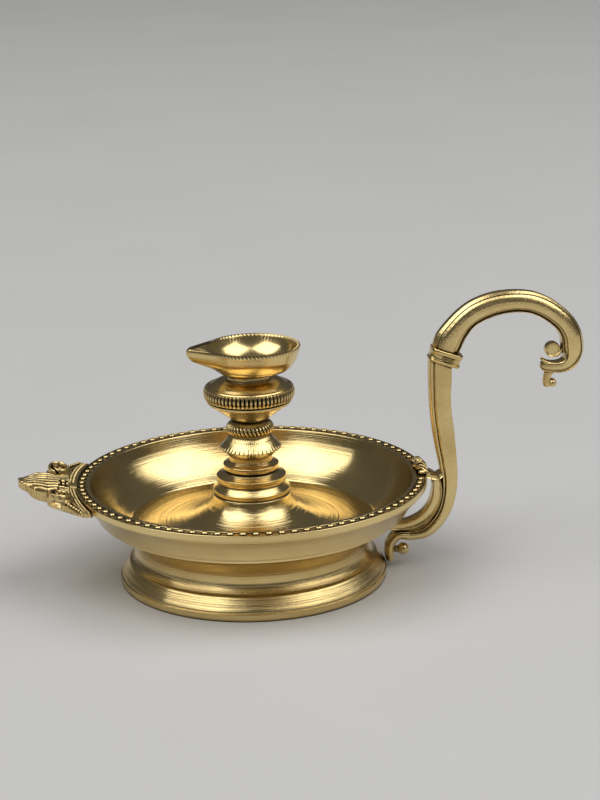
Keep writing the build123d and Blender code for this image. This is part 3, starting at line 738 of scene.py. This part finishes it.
SHANK_STATIONS = (
    (60.9, 69.6, 4.6, 0.9), (60.5, 68.6, 6.2, 1.0), (60.1, 67.5, 7.0, 1.0), (59.95, 65.5, 7.2, 1.0),
    (59.95, 61.0, 7.3, 1.0), (59.9, 54.8, 6.8, 1.0), (60.25, 49.3, 6.8, 1.0), (60.95, 44.0, 6.8, 1.0),
    (61.6, 38.7, 6.4, 1.0), (62.3, 33.7, 5.85, 1.0), (62.75, 29.0, 5.2, 1.0), (62.65, 24.5, 4.8, 1.0),
    (61.7, 19.6, 4.4, 1.0), (60.2, 16.2, 4.1, 1.0), (57.9, 13.1, 3.9, 1.0), (54.65, 10.7, 3.5, 1.0),
    (50.05, 10.0, 2.9, 1.0), (46.3, 10.3, 2.7, 1.0), (43.8, 7.9, 2.7, 1.0), (43.35, 5.0, 2.6, 1.0),
    (43.5, 2.2, 2.2, 1.0),
)
BRACKET_STATIONS = (
    (54.6, 30.3, 2.5, 1.0), (56.9, 29.7, 2.5, 1.0), (58.5, 27.9, 2.95, 1.0), (58.85, 24.8, 3.1, 1.0),
    (57.8, 20.3, 3.1, 1.0), (55.1, 16.5, 3.1, 1.0), (51.4, 14.3, 2.95, 1.0), (47.4, 13.4, 2.8, 1.0),
    (43.2, 13.7, 2.6, 1.0), (40.0, 14.3, 2.5, 1.0), (37.7, 14.9, 2.3, 1.0),
)
SADDLE_STATIONS = (
    (56.4, 29.6, 1.8, 0.96), (58.4, 29.1, 1.8, 0.96), (59.8, 29.6, 1.7, 0.96), (60.8, 30.8, 1.3, 0.9),
)
# Foot of the collar, and its lean in degrees
COLLAR_FOOT = Vector((60.95, 0, 66.1))
COLLAR_LEAN = 19.5
# Seed for the grains on the shank
GRAIN_SEED = 7


def cast_handle(node_name, shapes, **settings):
    """Cast piece of the handle, on the lamp's base."""
    piece(node_name, "cast", "lamp_base", HANDLE_BRASS, joined(*shapes), **settings)


def handle_shank():
    """Upright bar with a raised left edge, a grainy strip along its right side, and the curled tail."""
    depth = span("handle_shank")[1].y
    shapes = [bar(SHANK_STATIONS, SHANK_RELIEF, depth)]
    chance = Random(GRAIN_SEED)
    # From below the collar to the start of the tail
    for x, z, width, _ in flow(SHANK_STATIONS, 10)[34:130]:
        for face in (-1, 1):
            across = width * chance.uniform(0.34, 0.42)
            spot = (x + across, face * 0.66 * depth, z + chance.uniform(-0.3, 0.3))
            shapes.append(ball(spot, chance.uniform(0.14, 0.26), turns=8, rows=6))
    cast_handle("handle_shank", shapes, sharp=60.0)


def handle_bracket():
    """Strap inside the shank, with a saddle across to it at the top and a row of grains along the seam."""
    depth = span("handle_bracket")[1].y
    straps = (BRACKET_STATIONS, SADDLE_STATIONS)
    shapes = [bar(stations, STRAP_RELIEF, depth, across=21) for stations in straps]
    for x, z, width, _ in flow(BRACKET_STATIONS, 6)[14:44]:
        aside = 0.35 * width
        for face in (-1, 1):
            shapes.append(ball((x + aside, face * depth, z - aside), 0.3, turns=8, rows=6))
    cast_handle("handle_bracket", shapes, sharp=60.0)


def handle_ball():
    """Ball on its neck in the curl of the tail."""
    low, high = span("handle_ball")
    radius = (high.z - low.z) / 2
    middle = (low.z + high.z) / 2
    x = high.x - radius
    outline = [(0.001, -radius)]
    for step in range(1, 16):
        angle = -pi / 2 + pi * step / 18
        outline.append((radius * cos(angle), radius * sin(angle)))
    # Neck with a small ring, run into the tail
    outline += [(0.95, radius - 0.1), (1.2, radius + 0.15), (1.2, radius + 0.45), (0.9, radius + 0.6),
                (0.9, radius + 1.8), (0.001, radius + 1.8)]
    turn = Matrix.Translation((x, 0, middle)) @ Matrix.Rotation(-pi / 2, 4, "Y")
    cast_handle("handle_ball", [placed(lathe(outline, 32), turn)])


def handle_collar():
    """Sleeve with two raised rings and a hollow between them that carries a small oval."""
    lean = radians(COLLAR_LEAN)
    half_width = 5.15
    sides = 96
    along = Vector((sin(lean), 0, cos(lean)))
    side = Vector((cos(lean), 0, -sin(lean)))
    half_depth = span("handle_collar")[1].y - 0.2
    # Rise along the axis, and how far the surface stands back from the widest ring
    steps = (
        (-0.3, 1.5), (-0.1, 0.8), (0.05, 0.25), (0.2, 0.05), (0.45, 0.0), (0.7, 0.1), (0.85, 0.5),
        (1.0, 0.85), (1.5, 1.0), (2.3, 1.0), (2.6, 0.85), (2.75, 0.4), (2.95, 0.1), (3.4, 0.0),
        (3.9, 0.05), (4.1, 0.35), (4.2, 1.2),
    )
    rings = []
    for rise, back in flow(steps, 3):
        ring = []
        for step in range(sides):
            angle = 2 * pi * step / sides
            wide = (half_width - 0.2 * back) * squared(cos(angle))
            deep = (half_depth - back) * squared(sin(angle))
            ring.append(tuple(COLLAR_FOOT + along * rise + side * wide + Vector((0, deep, 0))))
        rings.append(ring)
    shapes = [skin(rings)]
    oval_rise = 1.85
    oval_tall = 0.55
    oval_wide = 1.6
    for face in (-1, 1):
        oval = []
        for step in range(25):
            angle = 2 * pi * step / 24
            rise = oval_rise + oval_tall * sin(angle)
            aside = 0.5 + oval_wide * cos(angle)
            spot = COLLAR_FOOT + along * rise + side * aside
            oval.append((spot.x, face * (half_depth - 0.95), spot.z))
        shapes.append(tube(oval, 0.22, tips=1.0, sides=8, steps=2))
        grain = COLLAR_FOOT + along * oval_rise + side * 0.2
        shapes.append(ball((grain.x, face * (half_depth - 1.0), grain.z), 0.3, turns=10))
    cast_handle("handle_collar", shapes, sharp=60.0)


def squared(number):
    """Cosine or sine bent so that a round section gets flatter sides."""
    return abs(number) ** 0.5 * (1 if number > 0 else -1)


def handle_hook():
    """Swan-neck bar: flange and groove outside, ridge and thin edge inside, rolled into a bordered tongue."""
    depth = span("handle_hook")[1].y
    tongue_at = 14.5
    shapes = [bar(HOOK_STATIONS, HOOK_RELIEF, depth, across=61, end_section=TONGUE_RELIEF, end_at=tongue_at)]
    for face in (-1, 1):
        y = face * 0.45 * depth
        flick = ((95.6, y, 64.4), (94.2, y, 64.6), (93.0, y, 65.1), (92.3, y, 65.8))
        shapes.append(tube(flick, 0.45, tips=0.2, sides=10))
    cast_handle("handle_hook", shapes, sharp=60.0)


def hook_eye():
    """Dished disc with a raised edge, and the crescent that cups it from below."""
    low, high = span("hook_eye")
    radius = (high.z - low.z) / 2 - 0.1
    x = low.x + radius + 0.35
    z = low.z + radius
    half = high.y
    # Radius, and how far the face stands back from the widest depth
    side = [(0.001, 0.25), (radius - 0.7, 0.3), (radius - 0.55, 0.1), (radius - 0.35, 0.0),
            (radius - 0.1, 0.08), (radius, 0.4)]
    outline = [(r, back - half) for r, back in side] + [(r, half - back) for r, back in reversed(side)]
    turn = Matrix.Translation((x, 0, z)) @ Matrix.Rotation(pi / 2, 4, "X")
    shapes = [placed(lathe(outline, 64), turn)]
    course = ((0.4, -2.2), (1.2, -1.95), (2.0, -1.4), (2.7, -0.65), (3.2, 0.2), (3.4, 1.1))
    for face in (-1, 1):
        crescent = [(x + across, face * (half - 0.25), z + up) for across, up in course]
        shapes.append(tube(crescent, 0.5, tips=0.15, sides=10, steps=4))
    cast_handle("hook_eye", shapes)


def hook_drop():
    """Short lumpy drop with a small bead run into its side."""
    low, high = span("hook_drop")
    half = 1.35
    x = low.x + half
    course = ((x + 0.5, 0, high.z), (x + 0.3, 0, high.z - 1.2),
              (x, 0, low.z + 2.4), (x + 0.1, 0, low.z + 1.0))
    shapes = [
        tube(course, half - 0.05, tips=0.9, sides=20, steps=8),
        ball((x + 0.9, 0, high.z - 0.4), half),
        ball((x + 0.1, 0, low.z + half), half - 0.05),
        ball((x + 1.75, -0.5, low.z + 1.6), 1.3),
        ball((x + 1.75, 0.5, low.z + 1.6), 1.3),
    ]
    cast_handle("hook_drop", shapes, melt=0.1)


# Cast ornament on the rim: places are distances out from the lamp's axis, and aside from the middle

# The crest sits slightly askew: how much it rises with each step aside
CREST_ROLL = 0.05
# Where the crest starts, where its tip begins to bend up, and how thick its plate is
CREST_RIM = 54.6
CREST_TIP = 66.5
CREST_PLATE = 2.5
# Height of its flat ground at the rim's edge, and its rise with each step out
RIM_EDGE = 55.0
CREST_GROUND = 32.1
CREST_RISE = 0.149
# Half of the outline, from the tip to the end of the wing
CREST_OUTLINE = (
    (72.5, 0.0), (72.4, 1.2), (71.6, 2.5), (70.2, 3.1), (69.6, 3.9), (69.0, 5.6), (67.6, 7.2), (66.0, 8.1),
    (64.7, 8.6), (63.8, 9.5), (63.8, 11.3), (62.4, 13.4), (60.4, 15.1), (57.7, 17.8), (55.9, 19.9),
    (54.7, 21.0), (53.7, 21.7), (52.8, 22.0), (51.9, 21.9),
)
# Half width of the leaf's swelling
LEAF_WIDTH = (
    (56.5, 1.5), (58.0, 3.0), (60.0, 5.0), (63.0, 7.4), (66.0, 7.6), (69.0, 4.3), (71.5, 1.9), (73.2, 0.3),
)
# Ribs of the leaf, from its root to the tip
LEAF_RIBS = (
    ((60.4, 0.0), (73.2, 0.0)),
    ((60.4, 1.8), (64.0, 2.4), (67.0, 1.7), (69.5, 1.9), (72.4, 0.6)),
    ((60.6, 3.5), (63.5, 4.5), (66.5, 3.6), (68.5, 3.8), (70.6, 2.3)),
    ((60.9, 5.2), (63.5, 6.7), (65.6, 5.9), (67.3, 6.1)),
)
# Wire and row of beads on the wing
WING_WIRE = ((57.2, 12.0), (55.7, 15.2), (54.0, 18.4))
WING_BEADS = ((58.9, 14.2), (57.4, 16.2), (55.9, 18.2), (54.5, 20.1), (53.2, 21.9))
# Centre of the rosette, and centre and half sizes of the volute
ROSETTE_OUT = 58.7
VOLUTE_OUT = 59.7
VOLUTE_ASIDE = 11.4
VOLUTE_LONG = 3.7
VOLUTE_WIDE = 4.4


def front_crest():
    """Palmette carved into a thick plate: ribbed leaf, volutes, rosette and bead rows, with notched sides."""
    rows = 90
    wall_rows = 19
    notch_pitch = 0.95
    notch_depth = 0.28
    hollow_depth = 1.3
    lead = flow(CREST_OUTLINE, 12)
    edge = np.array([(out, -aside) for out, aside in reversed(lead)] + lead[1:])
    angles = np.arctan2(edge[:, 1], edge[:, 0])
    inner = CREST_RIM * np.stack([np.cos(angles), np.sin(angles)], axis=1)
    shares = np.linspace(0, 1, rows)[None, :, None]
    grid = inner[:, None, :] + shares * (edge - inner)[:, None, :]
    tops = crest_height(grid[..., 0], np.abs(grid[..., 1]), lead)
    lengths = np.concatenate([[0], np.cumsum(np.hypot(*np.diff(edge, axis=0).T))])
    rings = []
    for column, length in enumerate(lengths):
        ring = [(-out, aside, top) for (out, aside), top in zip(grid[column], tops[column])]
        out, aside = edge[column]
        top = tops[column][-1]
        under = crest_under(out, aside)
        notch = notch_depth * (0.5 - 0.5 * cos(2 * pi * length / notch_pitch)) ** 2
        # On the volute's lobe a hollow takes the place of the notches
        lobe = min(1.0, max(0.0, top - crest_level(out) - 0.8))
        for share in np.linspace(0.05, 0.95, wall_rows):
            hollow = hollow_depth * lobe * max(0.0, 1 - ((share - 0.42) / 0.32) ** 6)
            notched = notch * (1 - lobe) * (1 - (2 * share - 1) ** 4)
            pull = 1 - (hollow + notched) / hypot(out, aside)
            ring.append((-out * pull, aside * pull, top + share * (under - top)))
        for share in (1.0, 0.66, 0.33, 0.0):
            spot = inner[column] + share * (edge[column] - inner[column])
            ring.append((-spot[0], spot[1], crest_under(*spot)))
        rings.append([(x, y, z + CREST_ROLL * y) for x, y, z in ring])
    piece("front_crest", "cast", "lamp_base", CREST_BRASS, skin(rings), sharp=45.0)


def crest_level(out):
    """Height of the crest's flat ground, which rises towards the tip and bends up there."""
    bend = 0.02 * np.maximum(out - CREST_TIP, 0) ** 2
    return CREST_GROUND + CREST_RISE * (out - RIM_EDGE) + bend


def crest_under(out, aside):
    """Height of the crest's underside; the plate thins towards the tip and the ends of the wings."""
    tip = 0.7 * min(1.0, max(0.0, (out - CREST_TIP) / 6))
    wing = 1.1 * min(1.0, max(0.0, (abs(aside) - 14) / 7))
    return crest_level(out) - CREST_PLATE + tip + wing


def crest_height(out, aside, edge):
    """Carved top of the crest at arrays of places."""
    ground = np.maximum.reduce([rim_lines(out, aside), wing_lines(out, aside), rosette(out, aside)])
    # The leaf's relief gets lower towards the tip
    tip = np.clip((72.8 - out) / 5, 0.25, 1)
    swelling = 0.6 * hump(aside, np.interp(out, *zip(*LEAF_WIDTH)))
    ground = np.maximum(ground, tip * leaf_lines(out, aside, edge)) + tip * swelling
    # The wing slopes down to its end
    around = np.hypot(out, aside)
    ground -= 0.7 * np.clip((aside - 13) / 9, 0, 1) * np.clip((around - 55.2) / 2, 0, 1)
    drum = np.hypot((out - VOLUTE_OUT) / VOLUTE_LONG, (aside - VOLUTE_ASIDE) / VOLUTE_WIDE)
    return crest_level(out) + np.where(drum < 1.08, volute(out, aside, drum), ground)


def leaf_lines(out, aside, edge):
    """Ribs of the leaf, and the line along its edge."""
    beside = np.clip((10 - aside) / 2, 0, 1)
    lines = 0.45 * beside * hump(line_gap(out, aside, edge[::3]), 0.5)
    for rib in LEAF_RIBS:
        lines = np.maximum(lines, 1.1 * hump(line_gap(out, aside, rib), 0.72))
    return lines


def rim_lines(out, aside):
    """Two nicked lines along the rim, and stripes from the rosette to the volute."""
    around = np.hypot(out, aside)
    turn = np.arctan2(aside, out)
    nicks = 0.6 + 0.4 * np.cos(2 * pi * around * turn / 0.9)
    lines = np.zeros(out.shape)
    for line in (55.7, 56.7):
        wire = 0.5 * nicks * hump(np.abs(around - line), 0.4)
        lines = np.maximum(lines, np.where(turn > radians(2.5), wire, 0))
    for stripe in range(4):
        start = 2.9 + 1.25 * stripe
        course = ((57.2, start), (60.0 - 0.3 * stripe, start + 0.5))
        lines = np.maximum(lines, 0.7 * hump(line_gap(out, aside, course), 0.45))
    return lines


def wing_lines(out, aside):
    """Wire and row of beads on the wing."""
    lines = 0.6 * hump(line_gap(out, aside, WING_WIRE), 0.42)
    for bead_out, bead_aside in flow(WING_BEADS, 2):
        lines = np.maximum(lines, 0.95 * hump(np.hypot(out - bead_out, aside - bead_aside), 0.58))
    return lines


def rosette(out, aside):
    """Knob with a ring of eight beads."""
    beads = 8
    ring = 1.75
    flower = 1.5 * hump(np.hypot(out - ROSETTE_OUT, aside), 0.95)
    for bead in range(beads):
        angle = 2 * pi * bead / beads
        gap = np.hypot(out - ROSETTE_OUT - ring * cos(angle), aside - ring * sin(angle))
        flower = np.maximum(flower, 1.1 * hump(gap, 0.6))
    return flower


def volute(out, aside, drum):
    """Drum that rises outwards, with a wire wound inwards round a hollow to a knob; drum is 1 on its edge."""
    raised = (0.4 + 0.8 * np.clip((aside - 7) / 8.5, 0, 1)) * np.clip((1.08 - drum) / 0.12, 0, 1)
    wound = []
    for step in range(30):
        angle = radians(-60 + 16 * step)
        wide = 0.9 - 0.018 * step
        wire_out = VOLUTE_OUT + VOLUTE_LONG * wide * cos(angle)
        wire_aside = VOLUTE_ASIDE + VOLUTE_WIDE * wide * sin(angle)
        wound.append((wire_out, wire_aside))
    wire = np.maximum(1.35 * hump(line_gap(out, aside, wound), 0.55), 0.9 * hump(drum, 0.15))
    return raised + np.where(drum < 1.06, wire, 0)


def hump(gap, half_width):
    """Round ridge: 1 on its line, 0 at its half width."""
    return np.sqrt(np.clip(1 - (gap / half_width) ** 2, 0, 1))


def line_gap(across, along, points):
    """Distance of arrays of places from a line through points."""
    gap = np.full(across.shape, 1e3)
    for (x, y), (next_x, next_y) in zip(points, points[1:]):
        dx = next_x - x
        dy = next_y - y
        share = np.clip(((across - x) * dx + (along - y) * dy) / (dx * dx + dy * dy), 0, 1)
        gap = np.minimum(gap, np.hypot(across - x - share * dx, along - y - share * dy))
    return gap


def rim_leaf():
    """Small lobed and ribbed leaf on the rim above the bracket."""
    low, high = span("rim_leaf")
    middle = (low.x + high.x) / 2
    shapes = [ball((middle, 0, low.z + 0.3), 2.2, squash=0.85, turns=24, rows=12)]
    for lobe in (-2, -1, 1, 2):
        spot = on_rim(middle, 3.6 * lobe, low.z + 0.2)
        shapes.append(ball(spot, 1.9 - 0.35 * abs(lobe), squash=0.8, turns=24, rows=12))
    for rib in range(-3, 4):
        degrees = 1.4 * rib
        course = (
            on_rim(middle - 1.7, degrees, low.z + 0.5),
            on_rim(middle, 1.4 * degrees, high.z - 0.35 * abs(rib) + 0.1),
            on_rim(middle + 1.9, 1.9 * degrees, low.z + 0.4),
        )
        shapes.append(tube(course, 0.42, steps=6))
    piece("rim_leaf", "cast", "lamp_base", CREST_BRASS, joined(*shapes), sharp=180.0, melt=0.14)


def on_rim(radius, degrees, height):
    """Place at a radius, an angle from the handle and a height."""
    angle = radians(degrees)
    return (radius * cos(angle), radius * sin(angle), height)


# Pieces inside the lamp keep their solids

def leather():
    """Oiled leather with a fine grain."""
    made, tree, shader = new_finish("washer_leather")
    place = node(tree, "TexCoord")
    grain = node(tree, "TexVoronoi", {"Vector": place.outputs["Object"], "Scale": 1800.0})
    tone = mixed(tree, grain.outputs["Distance"], (0.05, 0.025, 0.012, 1), (0.22, 0.12, 0.05, 1))
    tree.links.new(tone, shader.inputs["Base Color"])
    bump = node(tree, "Bump", {"Strength": 0.6, "Distance": 0.00005, "Height": grain.outputs["Distance"]})
    tree.links.new(bump.outputs["Normal"], shader.inputs["Normal"])
    shader.inputs["Roughness"].default_value = 0.6
    return made


def inner_pieces():
    """Finish of the solids that stay inside: stud, dowel and washer."""
    finishes = {"stem_stud": STEM_BRASS, "handle_tenon": HANDLE_BRASS, "stem_washer": leather()}
    for name, finish in finishes.items():
        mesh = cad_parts[name].data
        mesh.materials.clear()
        mesh.materials.append(finish)


# Studio

def floor():
    """Large pale table top with a faint mottle."""
    made, tree, shader = new_finish("pale_floor")
    place = node(tree, "TexCoord")
    mottle = node(tree, "TexNoise", {"Vector": place.outputs["Object"], "Scale": 9.0, "Detail": 4.0})
    tone = mixed(tree, mottle.outputs["Fac"], (0.61, 0.605, 0.595, 1), (0.66, 0.655, 0.645, 1))
    tree.links.new(tone, shader.inputs["Base Color"])
    shader.inputs["Roughness"].default_value = 0.6
    half = 2.5
    mesh = bpy.data.meshes.new("floor")
    corners = [(-half, -half, 0), (half, -half, 0), (half, half, 0), (-half, half, 0)]
    mesh.from_pydata(corners, [], [(0, 1, 2, 3)])
    mesh.materials.append(made)
    table = linked("floor", mesh)


def softbox(name, place):
    """Large area lamp at a place in metres, turned towards the object."""
    aim = Vector((0, 0, 0.03))
    lamp = bpy.data.lights.new(name, "AREA")
    lamp.shape = "RECTANGLE"
    lamp.size = 3.3
    lamp.size_y = 3.0
    lamp.energy = 74.0
    made = linked(name, lamp)
    made.location = place
    made.rotation_euler = (aim - Vector(place)).to_track_quat("-Z", "Y").to_euler()


def studio():
    """Soft light: two large boxes above, left and right of the camera, and a dim grey room."""
    softbox("left_box", (-1.75, -0.70, 2.90))
    softbox("right_box", (1.96, -0.67, 2.84))
    world = bpy.data.worlds.new("studio")
    bpy.context.scene.world = world
    world.use_nodes = True
    tree = world.node_tree
    sky = tree.nodes["Background"]
    place = node(tree, "TexCoord")
    parts = node(tree, "SeparateXYZ", {"Vector": place.outputs["Generated"]})
    shade = node(tree, "ValToRGB", {"Fac": parts.outputs["Z"]})
    shade.color_ramp.elements[0].color = (0.07, 0.07, 0.07, 1)
    shade.color_ramp.elements[1].position = 0.9
    shade.color_ramp.elements[1].color = (0.12, 0.12, 0.12, 1)
    tree.links.new(shade.outputs["Color"], sky.inputs["Color"])


def camera():
    """Camera of the photograph, aimed so that the rim's centre lands on its pixel."""
    elevation = radians(CAMERA_ELEVATION)
    azimuth = radians(CAMERA_AZIMUTH)
    back = Vector((sin(azimuth) * cos(elevation), -cos(azimuth) * cos(elevation), sin(elevation)))
    right = Vector((0, 0, 1)).cross(back).normalized()
    up = back.cross(right)
    basis = Matrix((right, up, back)).transposed()
    basis = basis @ Matrix.Rotation(-radians(CAMERA_ROLL), 3, "Z")
    off_x = (RIM_CENTRE_PIXEL[0] - PHOTO_WIDTH / 2) / FOCAL_PIXELS
    off_y = (RIM_CENTRE_PIXEL[1] - PHOTO_HEIGHT / 2) / FOCAL_PIXELS
    seen = Vector((off_x, -off_y, -1.0)).normalized()
    swing = Vector((0, 0, -1)).rotation_difference(seen).to_matrix()
    lens = bpy.data.cameras.new("photo_camera")
    lens.sensor_width = SENSOR
    lens.lens = SENSOR * FOCAL_PIXELS / PHOTO_HEIGHT
    lens.clip_start = 0.01
    made = linked("photo_camera", lens)
    stand = Matrix.Translation((RIM_CENTRE + back * CAMERA_DISTANCE) * MM)
    made.matrix_world = stand @ (basis @ swing.inverted()).to_4x4()
    bpy.context.scene.camera = made


for build in (foot_ring, dish, rim_beading,
              stem_foot, lower_knop, bead_collar, ribbed_bulb, wick_cup,
              handle_shank, handle_bracket, handle_ball, handle_collar, handle_hook, hook_eye, hook_drop,
              front_crest, rim_leaf, inner_pieces, floor, studio, camera):
    build()
bpy.context.scene.view_settings.view_transform = "Standard"
